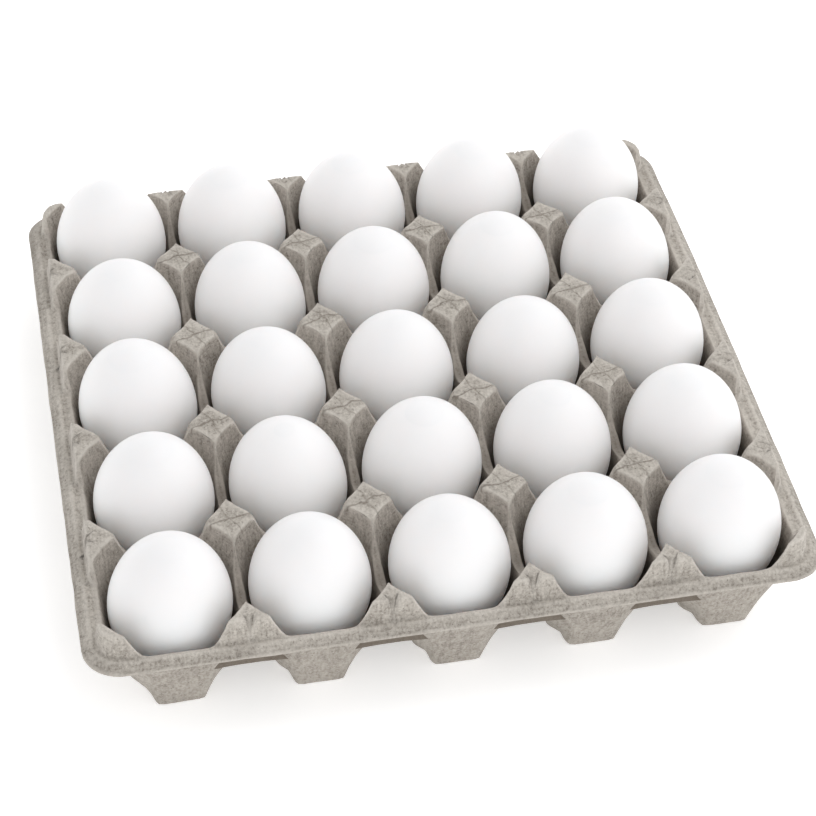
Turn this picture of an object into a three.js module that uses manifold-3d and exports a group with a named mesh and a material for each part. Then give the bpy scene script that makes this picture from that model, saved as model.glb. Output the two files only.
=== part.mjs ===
// Open moulded-pulp tray with twenty-five eggs, five by five.
// Millimetres, +Z up. Origin on the table under the middle of the tray.

import * as THREE from 'three';
import { mergeVertices } from 'three/addons/utils/BufferGeometryUtils.js';
import Module from 'manifold-3d';

const wasm = await Module();
wasm.setup();

// Cells
const cellsPerSide = 5;
const pitch = 49;

// Heights above the table
const postTop = 45; // flat tops of the posts between the cells
const flangeTop = 34.8; // rim that runs round the tray
const lipBottom = 31.4; // lower edge of the turned-down lip
const ridgeFoot = 33.6; // where a post's steep arm flattens out
const saddleTop = 29.2; // lowest point of the ridge between two cells
const cupFloor = 2.4; // inner floor of a cup
const webBottom = 18.5; // lower edge of the web between two outer cups

// Plan sizes, from the middle of the tray
const rimHalfX = 131;
const rimHalfY = 128;
const rimCorner = 15;
const cornerSteps = 4;
const faceInset = 4.4; // rim edge to the foot of the posts' outer face
const faceSlope = 2.2; // how far that face leans in up to the post tops
const frameWidth = 12.5; // breadth of the flange, before the cups cut into it

// Posts: how far the star points reach, and where the arms flatten
const tipReachX = 7.3;
const tipReachY = 8.8;
const footReachX = 11.8;
const footReachY = 12.9;

// Cups: flat facets towards the four sides, a round wall towards the posts
const facetAtFloor = 16.3;
const facetAtFlange = 25.2;
const coneAtTop = 29.3;
const coneDrop = 0.38; // share of the pitch lost at one pitch of depth
const conePower = 1.8;
const facetHalfAngle = Math.PI / 8;
const cupLevels = [cupFloor, 17, postTop + 1.5];

const wall = 2.2; // thickness of the pulp
const webWall = 2.4;
const lipDepth = 2.6; // everything this far in from the rim edge ends at the lip's lower edge
const webReach = 0.445 * pitch; // cup axis to the middle of the web
const below = 5; // cutting solids start this far under the table

// Eggs
const eggRadius = 22.25;
const eggTopLength = 28.3;
const eggBottomLength = 30.3;
const eggSegments = 10;
const eggBands = 7;
const seatGap = 0.35;
const eggSpread = 0.012; // share by which the eggs differ in size
const eggLean = 0.022; // radians
const eggShift = 0.3;

const pulpMaterial = () => new THREE.MeshStandardMaterial({ color: 0xaea89c, roughness: 0.95, metalness: 0 });
const shellMaterial = () => new THREE.MeshStandardMaterial({ color: 0xecebe9, roughness: 0.45, metalness: 0 });

const cellAt = (index) => (index - (cellsPerSide - 1) / 2) * pitch;
const postAt = (index) => (index - cellsPerSide / 2) * pitch;

function toSolid(geometry) {
  geometry.deleteAttribute('normal');
  geometry.deleteAttribute('uv');
  const merged = mergeVertices(geometry, 1e-4);
  return new wasm.Manifold(new wasm.Mesh({
    numProp: 3,
    vertProperties: new Float32Array(merged.attributes.position.array),
    triVerts: new Uint32Array(merged.index.array),
  }));
}

function toGeometry(solid) {
  const mesh = solid.getMesh();
  const geometry = new THREE.BufferGeometry();
  geometry.setAttribute('position', new THREE.BufferAttribute(new Float32Array(mesh.vertProperties), 3));
  geometry.setIndex(new THREE.BufferAttribute(new Uint32Array(mesh.triVerts), 1));
  const flat = geometry.toNonIndexed();
  flat.computeVertexNormals();
  return flat;
}

// A closed body through rings of equal count, each anticlockwise seen from above, lowest first.
function loft(rings) {
  const count = rings[0].length;
  const points = rings.flat();
  const faces = [];
  for (let level = 0; level + 1 < rings.length; level += 1) {
    for (let side = 0; side < count; side += 1) {
      const here = level * count + side;
      const next = level * count + (side + 1) % count;
      faces.push(here, next, next + count, here, next + count, here + count);
    }
  }
  const topStart = (rings.length - 1) * count;
  for (let side = 1; side + 1 < count; side += 1) {
    faces.push(0, side + 1, side);
    faces.push(topStart, topStart + side, topStart + side + 1);
  }
  const geometry = new THREE.BufferGeometry().setFromPoints(points);
  geometry.setIndex(faces);
  return geometry;
}

function roundedRing(halfX, halfY, radius, z) {
  const shape = new THREE.Shape();
  shape.moveTo(halfX, -halfY + radius);
  shape.lineTo(halfX, halfY - radius);
  shape.absarc(halfX - radius, halfY - radius, radius, 0, Math.PI / 2);
  shape.absarc(-halfX + radius, halfY - radius, radius, Math.PI / 2, Math.PI);
  shape.absarc(-halfX + radius, -halfY + radius, radius, Math.PI, 1.5 * Math.PI);
  shape.absarc(halfX - radius, -halfY + radius, radius, 1.5 * Math.PI, 2 * Math.PI);
  const outline = shape.getPoints(cornerSteps);
  const ring = outline.filter((point, index) => index === 0 || point.distanceTo(outline[index - 1]) > 1e-3);
  if (ring[0].distanceTo(ring[ring.length - 1]) < 1e-3) {
    ring.pop();
  }
  return ring.map((point) => new THREE.Vector3(point.x, point.y, z));
}

const roundedSlab = (halfX, halfY, radius, bottom, top) => toSolid(loft([
  roundedRing(halfX, halfY, radius, bottom),
  roundedRing(halfX, halfY, radius, top),
]));

function block(halfX, halfY, bottom, top) {
  const geometry = new THREE.BoxGeometry(2 * halfX, 2 * halfY, top - bottom);
  geometry.translate(0, 0, (top + bottom) / 2);
  return toSolid(geometry);
}

// Row of posts and saddles in side view: one profile for each direction, run across the whole tray.
function ridges(tipReach, footReach, thin, alongX) {
  const reach = rimHalfX + 10;
  const bottom = thin > 0 ? -below : 0;
  const top = postTop - thin;
  const shape = new THREE.Shape();
  shape.moveTo(-reach, bottom);
  shape.lineTo(reach, bottom);
  shape.lineTo(reach, top);
  for (let index = cellsPerSide; index >= 0; index -= 1) {
    const middle = postAt(index);
    if (index < cellsPerSide) {
      shape.lineTo(middle + pitch / 2, saddleTop - thin);
      shape.lineTo(middle + footReach - thin, ridgeFoot - thin);
      shape.lineTo(middle + tipReach - thin, top);
    }
    if (index > 0) {
      shape.lineTo(middle - tipReach + thin, top);
      shape.lineTo(middle - footReach + thin, ridgeFoot - thin);
    }
  }
  shape.lineTo(-reach, top);
  const geometry = new THREE.ExtrudeGeometry(shape, { depth: 2 * reach, bevelEnabled: false });
  geometry.translate(0, 0, -reach);
  geometry.rotateX(Math.PI / 2);
  if (!alongX) {
    geometry.rotateZ(Math.PI / 2);
  }
  return toSolid(geometry);
}

// What the tray would be with no cups: posts and saddles, the posts' outer faces and the flange.
function envelope(thin) {
  const bottom = thin > 0 ? -below : 0;
  const faceHalfX = rimHalfX - faceInset - thin;
  const faceHalfY = rimHalfY - faceInset - thin;
  const faceCorner = rimCorner - faceInset - thin;
  const faceRings = [
    roundedRing(faceHalfX, faceHalfY, faceCorner, bottom),
    roundedRing(faceHalfX, faceHalfY, faceCorner, flangeTop - thin),
    roundedRing(faceHalfX - faceSlope, faceHalfY - faceSlope, faceCorner - faceSlope, postTop),
  ];
  const posts = ridges(tipReachX, footReachX, thin, true)
    .intersect(ridges(tipReachY, footReachY, thin, false))
    .intersect(toSolid(loft(faceRings)));
  const inner = block(rimHalfX - frameWidth + thin, rimHalfY - frameWidth + thin, -2 * below, postTop);
  const flange = roundedSlab(rimHalfX - thin, rimHalfY - thin, rimCorner - thin, bottom, flangeTop - thin)
    .subtract(inner);
  return posts.add(flange);
}

const facetAt = (z) => facetAtFloor
  + (facetAtFlange - facetAtFloor) * (z - cupFloor) / (flangeTop - cupFloor);

const coneAt = (z) => coneAtTop
  - coneDrop * pitch * (Math.max(postTop - z, 0) / pitch) ** conePower;

function cupRing(z, thick) {
  const facet = facetAt(z) + thick;
  const cone = coneAt(z) + thick;
  const corner = Math.min(facet / Math.cos(facetHalfAngle), coneAtTop + thick);
  const ring = [];
  for (let side = 0; side < 4; side += 1) {
    const middle = side * Math.PI / 2;
    const polar = [
      [middle - facetHalfAngle, corner],
      [middle + facetHalfAngle, corner],
      [middle + Math.PI / 4, cone],
    ];
    polar.forEach(([angle, radius]) => {
      ring.push(new THREE.Vector3(radius * Math.cos(angle), radius * Math.sin(angle), z));
    });
  }
  return ring;
}

function cup(thick) {
  const levels = thick > 0 ? [-1, ...cupLevels.slice(1)] : cupLevels;
  return toSolid(loft(levels.map((z) => cupRing(z, thick))));
}

function cupsEverywhere(thick) {
  const one = cup(thick);
  const copies = [];
  for (let row = 0; row < cellsPerSide; row += 1) {
    for (let column = 0; column < cellsPerSide; column += 1) {
      copies.push(one.translate([cellAt(column), cellAt(row), 0]));
    }
  }
  return wasm.Manifold.union(copies);
}

// Short webs under the rim that tie each outer cup to the next.
function websUnderRim() {
  const outerCell = cellAt(cellsPerSide - 1);
  const webs = [];
  for (let index = 1; index < cellsPerSide; index += 1) {
    for (const side of [-1, 1]) {
      const across = new THREE.BoxGeometry(pitch / 2, webWall, flangeTop - 1 - webBottom);
      across.translate(postAt(index), side * (outerCell + webReach), (flangeTop - 1 + webBottom) / 2);
      webs.push(toSolid(across));
      const along = new THREE.BoxGeometry(webWall, pitch / 2, flangeTop - 1 - webBottom);
      along.translate(side * (outerCell + webReach), postAt(index), (flangeTop - 1 + webBottom) / 2);
      webs.push(toSolid(along));
    }
  }
  return wasm.Manifold.union(webs);
}

function trayMesh() {
  const hollows = envelope(wall).subtract(cupsEverywhere(wall));
  const underLip = block(rimHalfX + below, rimHalfY + below, -below, lipBottom).subtract(
    roundedSlab(rimHalfX - lipDepth, rimHalfY - lipDepth, rimCorner - lipDepth, -2 * below, lipBottom + below),
  );
  const sheet = envelope(0)
    .subtract(hollows)
    .subtract(underLip)
    .add(websUnderRim())
    .subtract(cupsEverywhere(0));
  const mesh = new THREE.Mesh(toGeometry(sheet), pulpMaterial());
  mesh.name = 'tray';
  return mesh;
}

// Repeatable unevenness between -1 and 1.
const uneven = (row, column, kind) => {
  const wave = Math.sin(12.9898 * (row + 1) + 78.233 * (column + 1) + 37.719 * (kind + 1)) * 43758.5453;
  return 2 * (wave - Math.floor(wave)) - 1;
};

function eggGeometry(radius, topLength, bottomLength) {
  const profile = [];
  for (let band = 0; band <= eggBands; band += 1) {
    const angle = -Math.PI / 2 + band * Math.PI / eggBands;
    const length = angle < 0 ? bottomLength : topLength;
    const out = band === 0 || band === eggBands ? 0 : radius * Math.cos(angle);
    profile.push(new THREE.Vector2(out, length * Math.sin(angle)));
  }
  const geometry = new THREE.LatheGeometry(profile, eggSegments);
  geometry.rotateX(Math.PI / 2);
  return geometry;
}

function eggMesh(row, column) {
  const size = 1 + eggSpread * uneven(row, column, 0);
  const stretch = 1 + eggSpread * uneven(row, column, 1);
  const bottomLength = eggBottomLength * size * stretch;
  const mesh = new THREE.Mesh(
    eggGeometry(eggRadius * size, eggTopLength * size * stretch, bottomLength),
    shellMaterial(),
  );
  mesh.name = `egg_${row + 1}_${column + 1}`;
  mesh.position.set(
    cellAt(column) + eggShift * uneven(row, column, 2),
    cellAt(row) + eggShift * uneven(row, column, 3),
    cupFloor + seatGap + bottomLength,
  );
  mesh.rotation.set(eggLean * uneven(row, column, 4), eggLean * uneven(row, column, 5), 0);
  return mesh;
}

const group = new THREE.Group();
group.add(trayMesh());
for (let row = 0; row < cellsPerSide; row += 1) {
  for (let column = 0; column < cellsPerSide; column += 1) {
    group.add(eggMesh(row, column));
  }
}

export default group;
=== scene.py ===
import math
import random

import bpy
import numpy as np
from mathutils import Matrix, Vector


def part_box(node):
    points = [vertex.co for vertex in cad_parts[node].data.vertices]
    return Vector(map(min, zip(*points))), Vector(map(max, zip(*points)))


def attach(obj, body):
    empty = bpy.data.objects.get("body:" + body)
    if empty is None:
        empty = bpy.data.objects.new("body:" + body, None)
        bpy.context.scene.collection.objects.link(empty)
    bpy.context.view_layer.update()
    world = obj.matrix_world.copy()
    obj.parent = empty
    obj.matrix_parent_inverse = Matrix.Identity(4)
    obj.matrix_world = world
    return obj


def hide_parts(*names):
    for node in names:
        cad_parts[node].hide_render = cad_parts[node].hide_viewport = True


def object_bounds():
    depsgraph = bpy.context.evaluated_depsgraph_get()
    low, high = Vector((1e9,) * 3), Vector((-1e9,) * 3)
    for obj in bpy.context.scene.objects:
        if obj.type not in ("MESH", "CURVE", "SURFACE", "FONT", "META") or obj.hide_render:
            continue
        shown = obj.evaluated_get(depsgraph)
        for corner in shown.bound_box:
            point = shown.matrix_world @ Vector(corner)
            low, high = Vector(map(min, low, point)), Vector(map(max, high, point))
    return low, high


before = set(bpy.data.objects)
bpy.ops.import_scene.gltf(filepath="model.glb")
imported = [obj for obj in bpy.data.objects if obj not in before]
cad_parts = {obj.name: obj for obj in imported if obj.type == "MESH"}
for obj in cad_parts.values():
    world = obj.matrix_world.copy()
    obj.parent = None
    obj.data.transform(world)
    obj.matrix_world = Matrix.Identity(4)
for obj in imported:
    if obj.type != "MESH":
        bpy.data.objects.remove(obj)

cadLow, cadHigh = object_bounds()
mm = 0.001
random.seed(25)


def deselectAll():
    if bpy.context.object and bpy.context.object.mode != "OBJECT":
        bpy.ops.object.mode_set(mode="OBJECT")
    bpy.ops.object.select_all(action="DESELECT")


def makeActive(*pieces):
    deselectAll()
    for piece in pieces:
        piece.select_set(True)
    bpy.context.view_layer.objects.active = pieces[0]


def applyModifier(piece, kind, **values):
    makeActive(piece)
    modifier = piece.modifiers.new(kind.title(), kind)
    for name, value in values.items():
        setattr(modifier, name, value)
    bpy.ops.object.modifier_apply(modifier=modifier.name)


def selectOpenEdges(kind):
    bpy.ops.mesh.select_mode(type=kind)
    bpy.ops.mesh.select_all(action="DESELECT")
    bpy.ops.mesh.select_non_manifold(extend=False, use_wire=False, use_boundary=True,
                                     use_multi_face=False, use_non_contiguous=False, use_verts=False)


def smoothMin(a, b, reach):
    near = max(reach - abs(a - b), 0) / reach
    return min(a, b) - near * near * reach / 4


def smoothMax(a, b, reach):
    return -smoothMin(-a, -b, reach)


def easeBetween(low, high, value):
    t = min(max((value - low) / (high - low), 0), 1)
    return t * t * (3 - 2 * t)


# camera, in millimetres and degrees
cameraSet = {
    "azimuth": 11.47,
    "elevation": 43.7,
    "roll": 0.65,
    "distance": 879,
    "aim": (-1.6, -30.3, 45),
    "lens": 105.8,
}


def addCamera():
    azimuth, elevation, roll = (math.radians(cameraSet[key]) for key in ("azimuth", "elevation", "roll"))
    ahead = Vector((math.sin(azimuth) * math.cos(elevation),
                    math.cos(azimuth) * math.cos(elevation), -math.sin(elevation)))
    right = ahead.cross(Vector((0, 0, 1))).normalized()
    up = right.cross(ahead)
    across = right * math.cos(roll) + up * math.sin(roll)
    upright = up * math.cos(roll) - right * math.sin(roll)
    place = (Vector(cameraSet["aim"]) - ahead * cameraSet["distance"]) * mm
    turn = Matrix((across, upright, -ahead)).transposed().to_4x4()
    bpy.ops.object.camera_add()
    camera = bpy.context.object
    camera.matrix_world = Matrix.Translation(place) @ turn
    camera.data.lens = cameraSet["lens"]
    camera.data.sensor_width = 36
    bpy.context.scene.camera = camera


addCamera()
print("camera placed")


# pulp tray, in millimetres from the middle of its feet
tray = {
    "cells": 5,
    "pitch": 49,
    "postTop": 45.5,
    "flangeTop": 34.6,
    "ridgeFoot": 33.0,
    "saddle": 28.9,
    "cupFloor": 2.4,
    "underFloor": 0.15,  # height of the feet's underside before the surface is made uneven
    "wall": 2.0,
    "postLift": (-0.7, 0),  # each post's own difference in height
    "roof": (0.03, 0.14),  # how much a post's top falls along x and towards the front
    "tip": (7.6, 9.2),  # reach of a post's flat top along x and y
    "foot": (12.0, 13.6),  # where its steep arms flatten out
    "facet": (16.2, 24.2),  # cup axis to its flat sides, at the floor and at the flange
    "innerFloor": 12.6,  # the same at the floor, on all sides but the tray's front and back
    "eggRoom": (22.9, 33.5, 29.2),  # half width, middle height and half height of the room for an egg
    "cone": 28.55,  # cup radius at the post tops
    "coneDrop": 18.6,
    "conePower": 1.8,
    "rimInset": 0.6,  # left free inside the model's box for the uneven surface
    "rimCorner": 14.5,
    "faceFoot": 5.3,  # rim edge to the foot of the outer posts' face
    "faceTop": 6.7,
    "flangeWidth": 12.5,
    "foldAt": 3.6,  # rim edge to the raised fold
    "foldDrop": 1.5,
    "foldRise": 0.5,
    "foldWidth": 1.1,
    "innerSlope": 3,  # how steeply the flange ends beyond its width
    "edgeInset": 1.1,  # rim edge to the groove above the lip
    "round": 0.7,  # how softly neighbouring faces run into each other
    "backFrom": 40,  # from here on the back is drawn in and sinks
    "backDraw": 3.4,
    "backSink": 3.6,
    "evenShare": 0.2,  # higher spaces the mesh evenly, lower gathers it at the bends
    "mostBend": 0.3,
    "lipUnderShade": (3.4, 31.6),  # inset and height within which the lip's underside gets painted shade
    "bead": 0.35,  # breadth of the painted highlight line along the lip's edge
    "beadHighlight": 0.7,
    "ridgeShare": 3.0,  # how strongly a bend gets a painted highlight on its ridge or painted shade in its fold
    "outsideShadeShare": 0.3,  # how much of the cups' painted shade the outside takes
    "lump": 0.55,
    "lumpSize": 9,
    "lip": [(-0.1, 0.35), (-0.75, 0.45), (-1.1, 0.9), (-1.05, 1.5), (-0.75, 2.0), (-0.2, 2.3), (0.4, 2.1)],
    "sample": 0.4,  # step at which a cup's section is worked out
    "weld": 0.004,
}
half = tray["pitch"] / 2
rimHalf = [(high - low) / 2 / mm - tray["rimInset"] for low, high in zip(cadLow[:2], cadHigh[:2])]
outerLine = tray["pitch"] * tray["cells"] / 2
postLift = {}


def postHeight(x, y):
    key = (round((x + outerLine) / tray["pitch"]), round((y + outerLine) / tray["pitch"]))
    if key not in postLift:
        postLift[key] = random.uniform(*tray["postLift"])
    return postLift[key]


def alongLine(value):
    nearest = round((value + outerLine) / tray["pitch"]) * tray["pitch"] - outerLine
    return value - min(max(nearest, -outerLine), outerLine)


def armHeight(reach, tip, foot, top):
    steep = (tray["postTop"] - tray["ridgeFoot"]) / (foot - tip)
    easy = (tray["ridgeFoot"] - tray["saddle"]) / (half - foot)
    arm = smoothMin(top, tray["postTop"] - steep * (reach - tip), 1.5 * tray["round"])
    low = tray["ridgeFoot"] - easy * (reach - foot)
    return smoothMax(arm, smoothMax(low, tray["saddle"], 1.5), 2)


def rimDistance(x, y):
    corner = tray["rimCorner"]
    overX = abs(x) - rimHalf[0] + corner
    overY = abs(y) - rimHalf[1] + corner
    if overX > 0 and overY > 0:
        return corner - math.hypot(overX, overY)
    return corner - max(overX, overY)


# height of the tray without its cups; thin moves it in by the wall for the underside
def moundHeight(x, y, thin):
    awayX, awayY = alongLine(x), alongLine(y)
    roof = tray["roof"][1] * max(-awayY, 0) + tray["roof"][0] * abs(awayX)
    top = tray["postTop"] + postHeight(x, y) - roof
    tipX, tipY = (reach - thin for reach in tray["tip"])
    footX, footY = (reach - thin for reach in tray["foot"])
    armX, armY = (armHeight(abs(away), tip, foot, top)
                  for away, tip, foot in ((awayX, tipX, footX), (awayY, tipY, footY)))
    post = smoothMin(armX, armY, tray["round"]) - thin
    inset = rimDistance(x, y)
    lean = (tray["postTop"] - tray["flangeTop"]) / (tray["faceTop"] - tray["faceFoot"])
    face = tray["flangeTop"] + lean * (inset - thin - tray["faceFoot"])
    post = smoothMin(post, face, tray["round"])
    slope = tray["foldDrop"] / tray["foldAt"]
    flange = tray["flangeTop"] - thin - slope * max(tray["foldAt"] - inset, 0)
    flange += tray["foldRise"] * math.exp(-((inset - tray["foldAt"]) / tray["foldWidth"]) ** 2)
    flange -= tray["innerSlope"] * max(inset - tray["flangeWidth"], 0)
    return smoothMax(post, flange, 1.6 * tray["round"])


def cupRadius(centre, z, angle, thick):
    floorSide, flangeSide = tray["facet"]
    side = round(angle / (math.pi / 2)) % 4
    outward = (centre[0], centre[1], -centre[0], -centre[1])[side]
    if side % 2 == 0 or outward < outerLine - tray["pitch"]:
        floorSide = tray["innerFloor"]
    rise = (z - tray["cupFloor"]) / (tray["flangeTop"] - tray["cupFloor"])
    wide, waist, tall = tray["eggRoom"]
    eggSide = wide * math.sqrt(max(1 - ((z - waist) / tall) ** 2, 0))
    facet = max(floorSide + (flangeSide - floorSide) * rise, min(eggSide, flangeSide)) + thick
    depth = max(tray["postTop"] - z, 0) / tray["pitch"]
    cone = tray["cone"] - tray["coneDrop"] * depth ** tray["conePower"] + thick
    widest = tray["cone"] + thick
    eighth = math.pi / 8
    turn = abs((angle + math.pi / 4) % (math.pi / 2) - math.pi / 4)
    if turn < eighth:
        return min(facet / math.cos(turn), widest)
    corner = min(facet / math.cos(eighth), widest)
    return corner + (cone - corner) * easeBetween(eighth, 2 * eighth, turn)


# one line from the middle of a cup's floor to the cell's edge, as distances and heights
def cupLine(centre, angle, reach, thin):
    def mound(radius):
        return moundHeight(centre[0] + radius * math.cos(angle), centre[1] + radius * math.sin(angle), thin)

    floor = tray["cupFloor"] if thin == 0 else tray["underFloor"]
    line = [(0, floor), (cupRadius(centre, floor, angle, thin), floor)]
    floorEnd = line[1][0]
    z = floor
    edge = reach
    while z < tray["postTop"]:
        z += 1
        radius = cupRadius(centre, z, angle, thin)
        if radius >= reach or (z > 20 and z >= mound(radius)):
            low, high = z - 1, z
            for _ in range(12):
                z = (low + high) / 2
                radius = cupRadius(centre, z, angle, thin)
                if radius >= reach or z >= mound(radius):
                    high = z
                else:
                    low = z
            edge = min(radius, reach)
            line.append((edge, z))
            break
        line.append((radius, z))
    steps = max(int((reach - edge) / tray["sample"]), 1)
    if reach - edge < 0.05:
        line[-1] = (reach, line[-1][1])
    else:
        line += [(edge + (reach - edge) * step / steps, mound(edge + (reach - edge) * step / steps))
                 for step in range(1, steps + 1)]
    return np.array(line), floorEnd, edge


# spaces points along a line: few on the floor, most round its edges
def ringPoints(line, floorEnd, edge, fineSide):
    lengths = np.concatenate([[0], np.cumsum(np.hypot(*np.diff(line, axis=0).T))])
    count = max(int(lengths[-1] / tray["sample"]), 8)
    fine = np.linspace(0, lengths[-1], count)
    radii, heights = (np.interp(fine, lengths, line[:, side]) for side in (0, 1))
    kernel = np.array([0.25, 0.5, 0.25])
    for values in (radii, heights):
        first, last = values[0], values[-1]
        padded = np.concatenate([[2 * first - values[1]], values, [values[-2]]])
        values[:] = np.convolve(padded, kernel, mode="valid")
        values[0], values[-1] = first, last
    radii[-1] = line[-1, 0]
    atFloor = floorEnd
    total = lengths[-1]
    index = int(np.argmax(line[:, 0] >= edge - 1e-6))
    atEdge = min(lengths[index], total - 1.6)
    places = [0, atFloor * 0.5, atFloor - 1.8, atFloor - 0.6, atFloor + 0.7, atFloor + 2.2]
    places += list(np.linspace(atFloor + 2.2, atEdge - 2.2, 6 if fineSide else 4)[1:])
    places += [atEdge - 1.2, atEdge - 0.5, atEdge] if fineSide else [atEdge]
    turns = np.gradient(np.unwrap(np.arctan2(np.gradient(heights), np.gradient(radii))))
    turns = np.convolve(turns, kernel, mode="same")
    bend = np.minimum(np.abs(turns), tray["mostBend"])
    share = np.cumsum(np.where(fine > atEdge, tray["evenShare"] * total / count + bend, 0))
    wanted = np.linspace(0, share[-1], 14 if fineSide else 6)[1:-1]
    places += list(np.interp(wanted, share, fine)) + [total]
    # painted light from the section's bends: a painted highlight on ridges and round the cup's edge, painted
    # shade in folds, and no painted shade high up on the posts
    ridge = np.clip(-turns * tray["ridgeShare"], -1, 1)
    rise = np.interp(places, fine, np.where(fine > atFloor + 3, ridge, 0))
    rise = np.maximum(rise, np.exp(-((np.array(places) - atEdge - 0.3) / 1.1) ** 2))
    height = np.interp(places, fine, heights)
    rise = np.where(height > tray["flangeTop"] + 1.2, np.maximum(rise, 0), rise)
    return np.interp(places, fine, radii), height, rise


def sideStops(low, high, axis, thin, inset):
    tip, foot = tray["tip"][axis], tray["foot"][axis]
    fromPost = [0, tip / 3, tip * 2 / 3, tip, (tip + foot) / 2, foot]
    fromPost += [foot + (half - foot) * step / 4 for step in range(1, 5)]
    stops = [-half + stop for stop in fromPost] + [half - stop for stop in fromPost[-2::-1]]
    face = [tray["faceFoot"] + thin, tray["faceTop"] + thin]
    beyond = [0] + [stop - inset for stop in (2.2, tray["foldAt"], *face)]
    if low < -half:
        free = low + beyond[-1] + 0.8
        stops = [low + step for step in beyond] + [stop for stop in stops if stop > free]
    if high > half:
        free = high - beyond[-1] - 0.8
        stops = [stop for stop in stops if stop < free] + [high - step for step in beyond[::-1]]
    return stops


def cellOutline(column, row, thin, inset):
    last = tray["cells"] - 1
    edge = [size - inset for size in rimHalf]
    centre = [(index - last / 2) * tray["pitch"] for index in (column, row)]
    low = [-half, -half]
    high = [half, half]
    for axis, index in enumerate((column, row)):
        if index == 0:
            low[axis] = -edge[axis] - centre[axis]
        if index == last:
            high[axis] = edge[axis] - centre[axis]
    stopsX, stopsY = (sideStops(low[axis], high[axis], axis, thin, inset) for axis in (0, 1))
    outline = [(x, low[1]) for x in stopsX[:-1]] + [(high[0], y) for y in stopsY[:-1]]
    outline += [(x, high[1]) for x in stopsX[:0:-1]] + [(low[0], y) for y in stopsY[:0:-1]]
    return centre, outline


# pulls a point on the square outline back onto the rounded rim
def withinRim(centre, point, inset):
    reach = 1.0
    if rimDistance(centre[0] + point[0], centre[1] + point[1]) < inset - 0.001:
        low, high = 0.5, 1.0
        for _ in range(24):
            reach = (low + high) / 2
            inside = rimDistance(centre[0] + reach * point[0], centre[1] + reach * point[1]) >= inset
            low, high = (reach, high) if inside else (low, reach)
    return reach * math.hypot(*point)


def drawBack(x, y, z):
    back = easeBetween(tray["backFrom"], rimHalf[1], y)
    return x, y - tray["backDraw"] * back, z - tray["backSink"] * back * max(z, 0) / tray["postTop"]


def addCell(column, row, thin):
    inset = max(thin, tray["edgeInset"])
    centre, outline = cellOutline(column, row, thin, inset)
    lines = []
    for point in outline:
        angle = math.atan2(point[1], point[0])
        reach = withinRim(centre, point, inset)
        radii, heights, rise = ringPoints(*cupLine(centre, angle, reach, thin), thin == 0)
        lines.append([(centre[0] + r * math.cos(angle), centre[1] + r * math.sin(angle), z, light)
                      for r, z, light in zip(radii, heights, rise)])
    rings = len(lines[0])
    bpy.ops.mesh.primitive_grid_add(x_subdivisions=rings - 1, y_subdivisions=len(lines), size=2)
    cell = bpy.context.object
    # rise carries the painted highlights and painted shade worked out along each line
    rise = cell.data.attributes.new("rise", "FLOAT", "POINT")
    # this share sets how much painted shade lower down a vertex takes: all of it on the upper face, some on
    # the underside
    inner = cell.data.attributes.new("inner", "FLOAT", "POINT")
    onPost = cell.data.attributes.new("onPost", "FLOAT_VECTOR", "POINT")
    for vertex in cell.data.vertices:
        ring = round((vertex.co.x + 1) / 2 * (rings - 1))
        ray = round((vertex.co.y + 1) / 2 * len(lines)) % len(lines)
        x, y, z, light = lines[ray][ring]
        vertex.co = Vector(drawBack(x, y, z)) * mm
        rise.data[vertex.index].value = light if thin == 0 else 0
        inner.data[vertex.index].value = 1 if thin == 0 else tray["outsideShadeShare"]
        isInner = max(abs(x), abs(y)) < outerLine - half
        onPost.data[vertex.index].vector = (alongLine(x), alongLine(y), 0) if isInner else (half, half, 0)
    return cell


def addSheet(name, thin):
    cells = [addCell(column, row, thin) for column in range(tray["cells"]) for row in range(tray["cells"])]
    makeActive(*cells)
    bpy.ops.object.join()
    sheet = bpy.context.object
    sheet.name = name
    bpy.ops.object.mode_set(mode="EDIT")
    selectOpenEdges("VERT")
    bpy.ops.mesh.remove_doubles(threshold=tray["weld"] * mm)
    bpy.ops.mesh.select_all(action="SELECT")
    bpy.ops.mesh.normals_make_consistent(inside=False)
    bpy.ops.object.mode_set(mode="OBJECT")
    return sheet


def closeRim(sheet):
    makeActive(sheet)
    bpy.ops.object.mode_set(mode="EDIT")
    selectOpenEdges("EDGE")
    bpy.ops.mesh.bridge_edge_loops()
    bpy.ops.mesh.select_all(action="SELECT")
    bpy.ops.mesh.normals_make_consistent(inside=False)
    bpy.ops.object.mode_set(mode="OBJECT")


def extrudeLip(sheet):
    makeActive(sheet)
    bpy.ops.object.mode_set(mode="EDIT")
    selectOpenEdges("EDGE")
    inward, down = 0, 0
    for inwardTo, downTo in tray["lip"]:
        scale = [1 - (inwardTo - inward) / size for size in rimHalf]
        bpy.ops.mesh.extrude_region_move(TRANSFORM_OT_translate={"value": (0, 0, (down - downTo) * mm)})
        bpy.ops.transform.resize(value=(scale[0], scale[1], 1), center_override=(0, 0, 0))
        inward, down = inwardTo, downTo
    bpy.ops.object.mode_set(mode="OBJECT")


# curtains of pulp under the rim between neighbouring outer cups
web = {
    "reach": 20.6,
    "thickness": 1.8,
    "bottom": 18.8,
    "top": 32.5,
    "halfBottom": 14.6,
    "halfTop": 8.0,
    "arch": 0.8,
    "bevel": 0.9,
}


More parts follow.
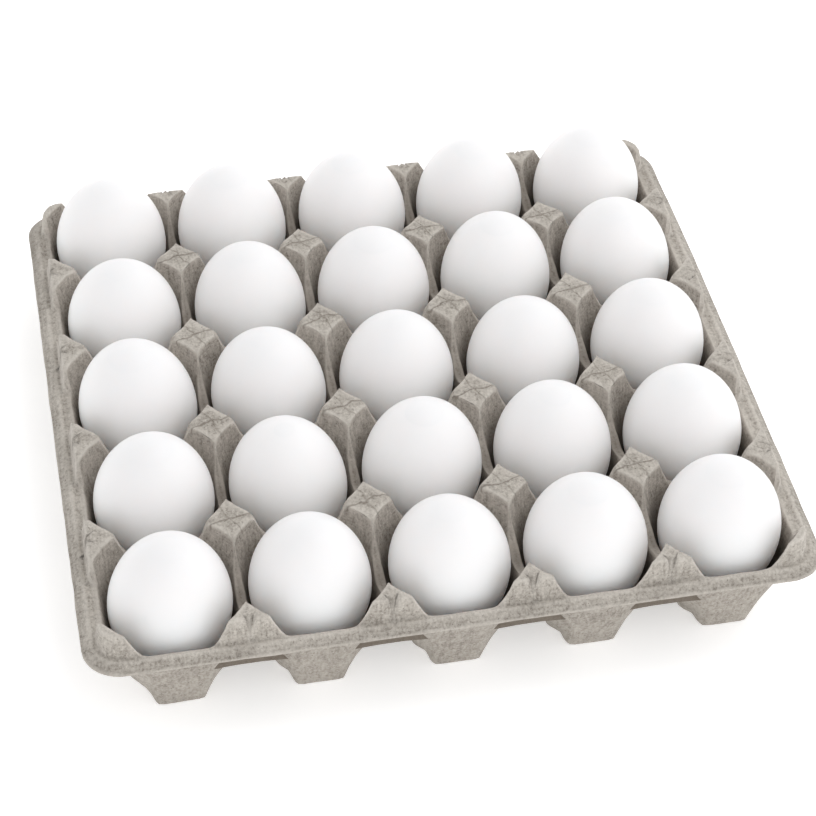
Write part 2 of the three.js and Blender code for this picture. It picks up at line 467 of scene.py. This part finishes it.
def addWeb(side, index, alongX):
    line = (index - tray["cells"] / 2) * tray["pitch"]
    out = side * ((tray["cells"] - 1) / 2 * tray["pitch"] + web["reach"])
    place = (line, out) if alongX else (out, line)
    middle = (web["bottom"] + web["top"]) / 2
    bpy.ops.mesh.primitive_cube_add(size=1, location=(place[0] * mm, place[1] * mm, middle * mm))
    curtain = bpy.context.object
    size = [2 * web["halfBottom"], web["thickness"]]
    curtain.scale = Vector((*(size if alongX else size[::-1]), web["top"] - web["bottom"])) * mm
    bpy.ops.object.transform_apply(location=True, rotation=False, scale=True)
    applyModifier(curtain, "BEVEL", width=web["bevel"] * mm, segments=1)
    bpy.ops.object.mode_set(mode="EDIT")
    bpy.ops.mesh.select_all(action="SELECT")
    bpy.ops.mesh.subdivide(number_cuts=2)
    bpy.ops.object.mode_set(mode="OBJECT")
    axis = 0 if alongX else 1
    for vertex in curtain.data.vertices:
        up = (vertex.co.z / mm - web["bottom"]) / (web["top"] - web["bottom"])
        across = (vertex.co[axis] / mm - line) / web["halfBottom"]
        narrow = 1 - (1 - web["halfTop"] / web["halfBottom"]) * up
        vertex.co[axis] = (line + across * web["halfBottom"] * narrow) * mm
        vertex.co.z += web["arch"] * (1 - across * across) * (1 - up) * mm
        vertex.co = Vector(drawBack(*(vertex.co / mm))) * mm
    # the webs take the cups' full painted shade lower down, standing in for the shade under the rim
    curtain.data.attributes.new("inner", "FLOAT", "POINT")
    for value in curtain.data.attributes["inner"].data:
        value.value = 1
    return curtain


def makeTray():
    upper = addSheet("trayUpper", 0)
    extrudeLip(upper)
    print("tray's upper face laid")
    under = addSheet("trayUnder", tray["wall"])
    print("tray's underside laid")
    makeActive(upper, under)
    bpy.ops.object.join()
    body = bpy.context.object
    closeRim(body)
    webs = [addWeb(side, index, alongX) for side in (-1, 1) for index in range(1, tray["cells"])
            for alongX in (True, False)]
    makeActive(body, *webs)
    bpy.ops.object.join()
    body.name = "pulpTray"
    lumps = bpy.data.textures.new("lumps", "CLOUDS")
    lumps.noise_scale = tray["lumpSize"] * mm
    lumps.noise_depth = 2
    applyModifier(body, "DISPLACE", texture=lumps, texture_coords="LOCAL",
                  strength=tray["lump"] * mm, mid_level=0.5)
    lowest = 0.02 * mm
    rise = body.data.attributes["rise"].data
    for vertex in body.data.vertices:
        vertex.co.z = max(vertex.co.z, lowest)
        x, y, z = vertex.co / mm
        if y > 0:
            y += tray["backDraw"] * easeBetween(tray["backFrom"], rimHalf[1], y)
            z += tray["backSink"] * easeBetween(tray["backFrom"], rimHalf[1], y) * z / tray["postTop"]
        inset = rimDistance(x, y)
        # painted shade on the lip's underside, and a painted highlight line along the lip's very edge
        if inset < tray["lipUnderShade"][0] and z < tray["lipUnderShade"][1]:
            rise[vertex.index].value = -1
        elif inset < tray["bead"]:
            rise[vertex.index].value = tray["beadHighlight"]
    bpy.ops.object.shade_smooth()
    return body


def linkNodes(tree, nodes, links):
    made = {}
    for name, (kind, values) in nodes.items():
        node = tree.nodes.new(kind)
        for key, value in values.items():
            if isinstance(key, str) and hasattr(node, key):
                setattr(node, key, value)
            else:
                node.inputs[key].default_value = value
        made[name] = node
    for source, outlet, target, inlet in links:
        tree.links.new(made[source].outputs[outlet], made[target].inputs[inlet])
    return made


def setRamp(node, stops):
    ramp = node.color_ramp
    while len(ramp.elements) < len(stops):
        ramp.elements.new(0.5)
    for element, (place, colour) in zip(ramp.elements, stops):
        element.position = place
        element.color = (*colour, 1)


pulp = {
    "dark": (0.25, 0.225, 0.195),
    "middle": (0.43, 0.396, 0.35),
    "light": (0.58, 0.542, 0.487),
    # painted highlight on ridges, cup edges and the lip's edge
    "edge": (0.66, 0.62, 0.56),
    # painted shade in folds, under the lip, low in the cups, on the webs and partly on the outside
    "shadeColour": (0.11, 0.085, 0.06),
    "speck": (0.09, 0.075, 0.06),
    # painted shade in the creases across the post tops
    "crease": (0.12, 0.095, 0.07),
    "stops": (0.385, 0.475, 0.585),  # where the noise turns dark, middle and light
    "wire": 230.0,  # marks of the forming wire, about 1.4 mm apart
    "roughness": 0.93,
    # how much painted highlight and painted shade the bends get
    "highlightShare": 0.6,
    "foldShadeShare": 0.5,
    "creaseWidth": 0.55,
    "creaseWobble": 2.4,
    "creaseTurns": (math.radians(12), math.radians(-62)),
}


def pulpMaterial():
    material = bpy.data.materials.new("recycledPulp")
    material.use_nodes = True
    tree = material.node_tree
    tree.nodes.clear()
    acrossA, acrossB = ((-math.sin(turn), math.cos(turn), 0) for turn in pulp["creaseTurns"])
    made = linkNodes(tree, {
        "place": ("ShaderNodeTexCoord", {}),
        "rise": ("ShaderNodeAttribute", {"attribute_name": "rise"}),
        "inner": ("ShaderNodeAttribute", {"attribute_name": "inner"}),
        "split": ("ShaderNodeSeparateXYZ", {}),
        "cloud": ("ShaderNodeTexNoise", {"Scale": 75.0, "Detail": 4.0, "Roughness": 0.6}),
        "fibre": ("ShaderNodeTexNoise", {"Scale": 940.0, "Detail": 5.0, "Roughness": 0.75, "Distortion": 0.3}),
        "grain": ("ShaderNodeTexNoise", {"Scale": 2600.0, "Detail": 2.0}),
        "stretch": ("ShaderNodeMapping", {"Scale": (1.0, 1.0, 0.28)}),
        "streak": ("ShaderNodeTexNoise", {"Scale": 620.0, "Detail": 3.0, "Roughness": 0.6, "Distortion": 0.6}),
        "wireX": ("ShaderNodeTexWave", {"bands_direction": "X", "Scale": pulp["wire"], "Distortion": 4.0,
                                        "Detail": 2.0, "Detail Scale": 1.5}),
        "wireZ": ("ShaderNodeTexWave", {"bands_direction": "Z", "Scale": pulp["wire"], "Distortion": 4.0,
                                        "Detail": 2.0, "Detail Scale": 1.5}),
        "wire": ("ShaderNodeMath", {"operation": "MULTIPLY"}),
        "tone3": ("ShaderNodeMix", {"data_type": "FLOAT", 0: 0.035}),
        "height3": ("ShaderNodeMix", {"data_type": "FLOAT", 0: 0.1}),
        "speckNoise": ("ShaderNodeTexNoise", {"Scale": 1150.0, "Detail": 1.0}),
        "tone": ("ShaderNodeMix", {"data_type": "FLOAT", 0: 0.72}),
        "tone2": ("ShaderNodeMix", {"data_type": "FLOAT", 0: 0.3}),
        "ramp": ("ShaderNodeValToRGB", {}),
        "speckRamp": ("ShaderNodeValToRGB", {}),
        "withSpecks": ("ShaderNodeMix", {"data_type": "RGBA", 7: (*pulp["speck"], 1)}),
        # painted highlight on ridges and edges, painted shade in folds and under the lip
        "ridgeHighlight": ("ShaderNodeMapRange", {1: 0.0, 2: 1.0, 3: 0.0, 4: pulp["highlightShare"]}),
        "foldShade": ("ShaderNodeMapRange", {1: 0.0, 2: -1.0, 3: 0.0, 4: pulp["foldShadeShare"]}),
        "withFoldShade": ("ShaderNodeMix", {"data_type": "RGBA", 7: (*pulp["shadeColour"], 1)}),
        "withRidgeHighlight": ("ShaderNodeMix", {"data_type": "RGBA", 7: (*pulp["edge"], 1)}),
        # painted shade, growing lower down in the cups, on the webs and partly on the outside
        "low": ("ShaderNodeMapRange", {1: 35 * mm, 2: 22 * mm, 3: 0.0, 4: 0.86}),
        "lowShade": ("ShaderNodeMath", {"operation": "MULTIPLY"}),
        "withLowShade": ("ShaderNodeMix", {"data_type": "RGBA", 7: (*pulp["shadeColour"], 1)}),
        "onPost": ("ShaderNodeAttribute", {"attribute_name": "onPost"}),
        "wobble": ("ShaderNodeTexNoise", {"Scale": 150.0, "Detail": 2.0}),
        "lineA": ("ShaderNodeVectorMath", {"operation": "DOT_PRODUCT", 1: acrossA}),
        "lineB": ("ShaderNodeVectorMath", {"operation": "DOT_PRODUCT", 1: acrossB}),
        "bend": ("ShaderNodeMapRange", {1: 0.0, 2: 1.0, 3: -pulp["creaseWobble"], 4: pulp["creaseWobble"]}),
        "awayA": ("ShaderNodeMath", {"operation": "ADD"}),
        "awayB": ("ShaderNodeMath", {"operation": "ADD"}),
        "sizeA": ("ShaderNodeMath", {"operation": "ABSOLUTE"}),
        "sizeB": ("ShaderNodeMath", {"operation": "ABSOLUTE"}),
        "inkA": ("ShaderNodeMapRange", {1: 0.1, 2: pulp["creaseWidth"], 3: 0.5, 4: 0.0}),
        "inkB": ("ShaderNodeMapRange", {1: 0.1, 2: pulp["creaseWidth"], 3: 0.34, 4: 0.0}),
        "ink": ("ShaderNodeMath", {"operation": "MAXIMUM"}),
        "topOnly": ("ShaderNodeMapRange", {1: 41.4 * mm, 2: 42.8 * mm, 3: 0.0, 4: 1.0}),
        # dark crease lines on the post tops: painted shade in the creases; the same lines are pressed into the
        # bump
        "crease": ("ShaderNodeMath", {"operation": "MULTIPLY"}),
        "withCreaseShade": ("ShaderNodeMix", {"data_type": "RGBA", 7: (*pulp["crease"], 1)}),
        "creased": ("ShaderNodeMath", {"operation": "SUBTRACT"}),
        "height": ("ShaderNodeMix", {"data_type": "FLOAT", 0: 0.4}),
        "height2": ("ShaderNodeMix", {"data_type": "FLOAT", 0: 0.3}),
        "bump": ("ShaderNodeBump", {"Strength": 0.75, "Distance": 0.55 * mm}),
        "surface": ("ShaderNodeBsdfPrincipled", {"Roughness": pulp["roughness"], "Specular IOR Level": 0.18,
                                                 "Sheen Weight": 0.08, "Sheen Roughness": 0.6}),
        "out": ("ShaderNodeOutputMaterial", {}),
    }, [
        ("place", "Object", "split", 0),
        ("place", "Object", "cloud", "Vector"),
        ("place", "Object", "fibre", "Vector"),
        ("place", "Object", "grain", "Vector"),
        ("place", "Object", "stretch", "Vector"),
        ("stretch", 0, "streak", "Vector"),
        ("place", "Object", "speckNoise", "Vector"),
        ("cloud", 0, "tone", 2), ("fibre", 0, "tone", 3),
        ("tone", 0, "tone2", 2), ("streak", 0, "tone2", 3),
        ("place", "Object", "wireX", "Vector"), ("place", "Object", "wireZ", "Vector"),
        ("wireX", "Fac", "wire", 0), ("wireZ", "Fac", "wire", 1),
        ("tone2", 0, "tone3", 2), ("wire", 0, "tone3", 3), ("tone3", 0, "ramp", 0),
        ("speckNoise", 0, "speckRamp", 0),
        ("speckRamp", 0, "withSpecks", 0),
        ("ramp", 0, "withSpecks", 6),
        ("rise", "Fac", "ridgeHighlight", 0), ("rise", "Fac", "foldShade", 0),
        ("foldShade", 0, "withFoldShade", 0), ("withSpecks", 2, "withFoldShade", 6),
        ("ridgeHighlight", 0, "withRidgeHighlight", 0), ("withFoldShade", 2, "withRidgeHighlight", 6),
        ("place", "Object", "wobble", "Vector"), ("wobble", 0, "bend", 0),
        ("onPost", "Vector", "lineA", 0), ("onPost", "Vector", "lineB", 0),
        ("lineA", "Value", "awayA", 0), ("bend", 0, "awayA", 1),
        ("awayA", 0, "sizeA", 0), ("sizeA", 0, "inkA", 0),
        ("lineB", "Value", "awayB", 0), ("bend", 0, "awayB", 1),
        ("awayB", 0, "sizeB", 0), ("sizeB", 0, "inkB", 0),
        ("inkA", 0, "ink", 0), ("inkB", 0, "ink", 1),
        ("split", "Z", "topOnly", 0), ("ink", 0, "crease", 0), ("topOnly", 0, "crease", 1),
        ("crease", 0, "withCreaseShade", 0), ("withRidgeHighlight", 2, "withCreaseShade", 6),
        ("split", "Z", "low", 0),
        ("low", 0, "lowShade", 0), ("inner", "Fac", "lowShade", 1),
        ("lowShade", 0, "withLowShade", 0),
        ("withCreaseShade", 2, "withLowShade", 6),
        ("withLowShade", 2, "surface", "Base Color"),
        ("fibre", 0, "height", 2), ("streak", 0, "height", 3),
        ("height", 0, "height2", 2), ("grain", 0, "height2", 3),
        ("height2", 0, "height3", 2), ("wire", 0, "height3", 3),
        ("height3", 0, "creased", 0), ("crease", 0, "creased", 1),
        ("creased", 0, "bump", "Height"),
        ("bump", 0, "surface", "Normal"),
        ("surface", 0, "out", 0),
    ])
    setRamp(made["ramp"], list(zip(pulp["stops"], (pulp["dark"], pulp["middle"], pulp["light"]))))
    setRamp(made["speckRamp"], [(0.68, (0, 0, 0)), (0.76, (0.6, 0.6, 0.6))])
    return material


# eggs, each shaped inside the room that the frame gives it
egg = {
    "segments": 64,
    "rings": 40,
    "widest": 0.515,  # share of the height at which an egg is widest
    "taper": 0.93,
    "squash": (0.985, 1.0),
    "lean": (-0.03, 0.03),
    "gap": 0.998,
    "colour": (0.85, 0.846, 0.85),
    # painted warm bounce light from the pulp, towards the egg's bottom
    "bounceWarmth": (0.975, 0.935, 0.92),
    "roughness": 0.42,
    "glowColours": (1.0, 0.93, 0.9),
    "glowDepth": 26,  # how far light spreads inside the shell, in millimetres
}


def addEgg(node, material):
    low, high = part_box(node)
    middle = (low + high) / 2
    radius = max(high.x - low.x, high.y - low.y) / 2
    waist = low.z + egg["widest"] * (high.z - low.z)
    bpy.ops.mesh.primitive_uv_sphere_add(segments=egg["segments"], ring_count=egg["rings"], radius=radius)
    shell = bpy.context.object
    shell.name = node.replace("egg", "eggShell")
    squash = random.uniform(*egg["squash"])
    turn = random.uniform(0, math.pi)
    leanX, leanY = random.uniform(*egg["lean"]), random.uniform(*egg["lean"])
    for vertex in shell.data.vertices:
        up = vertex.co.z / radius
        length = (high.z - waist) if up > 0 else (waist - low.z)
        narrow = 1 - (1 - egg["taper"]) * max(-up, 0) ** 1.5 * 1.2
        x, y = vertex.co.x * narrow, vertex.co.y * narrow * squash
        z = up * length
        x += leanX * z
        y += leanY * z
        vertex.co = Vector((middle.x + x * math.cos(turn) - y * math.sin(turn),
                            middle.y + x * math.sin(turn) + y * math.cos(turn), waist + z * egg["gap"]))
    bpy.ops.object.shade_smooth()
    shell.data.materials.append(material)
    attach(shell, "root")
    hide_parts(node)


def shellMaterial():
    material = bpy.data.materials.new("whiteEggshell")
    material.use_nodes = True
    tree = material.node_tree
    tree.nodes.clear()
    linkNodes(tree, {
        "place": ("ShaderNodeTexCoord", {}),
        "split": ("ShaderNodeSeparateXYZ", {}),
        "tint": ("ShaderNodeTexNoise", {"Scale": 40.0, "Detail": 3.0}),
        "pores": ("ShaderNodeTexNoise", {"Scale": 2400.0, "Detail": 2.0}),
        # the shell warms lower down as painted warm bounce light from the pulp, unevenly by a noise
        "low": ("ShaderNodeMapRange", {1: 60 * mm, 2: 28 * mm, 3: 0.0, 4: 1.0}),
        "bounceShare": ("ShaderNodeMath", {"operation": "POWER"}),
        "colour": ("ShaderNodeMix", {"data_type": "RGBA", 6: (*egg["colour"], 1), 7: (*egg["bounceWarmth"], 1)}),
        "bump": ("ShaderNodeBump", {"Strength": 0.12, "Distance": 0.1 * mm}),
        "surface": ("ShaderNodeBsdfPrincipled", {
            "Roughness": egg["roughness"], "Specular IOR Level": 0.35, "Subsurface Weight": 1.0,
            "Subsurface Radius": egg["glowColours"], "Subsurface Scale": egg["glowDepth"] * mm}),
        "out": ("ShaderNodeOutputMaterial", {}),
    }, [
        ("place", "Object", "split", 0),
        ("place", "Object", "tint", "Vector"),
        ("place", "Object", "pores", "Vector"),
        ("split", "Z", "low", 0),
        ("low", 0, "bounceShare", 0), ("tint", 0, "bounceShare", 1),
        ("bounceShare", 0, "colour", 0),
        ("colour", 2, "surface", "Base Color"),
        ("pores", 0, "bump", "Height"),
        ("bump", 0, "surface", "Normal"),
        ("surface", 0, "out", 0),
    ])
    return material


trayBody = makeTray()
trayBody.data.materials.clear()
trayBody.data.materials.append(pulpMaterial())
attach(trayBody, "root")
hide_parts("tray")
print("tray finished:", len(trayBody.data.polygons), "faces")

shellFinish = shellMaterial()
for node in sorted(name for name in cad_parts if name.startswith("egg_")):
    addEgg(node, shellFinish)
print("eggs placed")


studio = {
    "floor": (0.98, 0.98, 0.98),
    "floorGlow": 0.39,
    "skyLow": (1.3, 1.3, 1.32),
    "skyHigh": (0.64, 0.64, 0.64),
    "skyTurn": (-0.35, 0, 1),  # the sky darkens upwards and to the left
    "lights": [
        # name, place, size, power and colour, in metres and watts
        ("softKey", (0.55, 0.3, 1.2), 0.9, 3.2, (1.0, 0.995, 0.99)),
    ],
}


def addStudio():
    bpy.ops.mesh.primitive_plane_add(size=8, location=(0, 0, cadLow.z))
    floor = bpy.context.object
    floor.name = "paleFloor"
    material = bpy.data.materials.new("paleFloor")
    material.use_nodes = True
    surface = material.node_tree.nodes["Principled BSDF"]
    surface.inputs["Base Color"].default_value = (*studio["floor"], 1)
    surface.inputs["Roughness"].default_value = 0.9
    surface.inputs["Specular IOR Level"].default_value = 0.0
    surface.inputs["Emission Color"].default_value = (1, 1, 1, 1)
    surface.inputs["Emission Strength"].default_value = studio["floorGlow"]
    floor.data.materials.append(material)
    world = bpy.data.worlds.new("softSky")
    world.use_nodes = True
    made = linkNodes(world.node_tree, {
        "direction": ("ShaderNodeTexCoord", {}),
        "along": ("ShaderNodeVectorMath", {"operation": "DOT_PRODUCT", 1: studio["skyTurn"]}),
        "tint": ("ShaderNodeMix", {"data_type": "RGBA", 6: (*studio["skyLow"], 1),
                                   7: (*studio["skyHigh"], 1)}),
    }, [
        ("direction", "Generated", "along", 0),
        ("along", "Value", "tint", 0),
    ])
    sky = world.node_tree.nodes["Background"]
    world.node_tree.links.new(made["tint"].outputs[2], sky.inputs["Color"])
    bpy.context.scene.world = world
    for name, place, size, power, colour in studio["lights"]:
        bpy.ops.object.light_add(type="AREA", location=place)
        lamp = bpy.context.object
        lamp.name = name
        lamp.rotation_euler = (-Vector(place)).to_track_quat("-Z", "Y").to_euler()
        lamp.data.size = size
        lamp.data.energy = power
        lamp.data.color = colour


addStudio()
bpy.context.scene.view_settings.view_transform = "Standard"
print("studio lit")
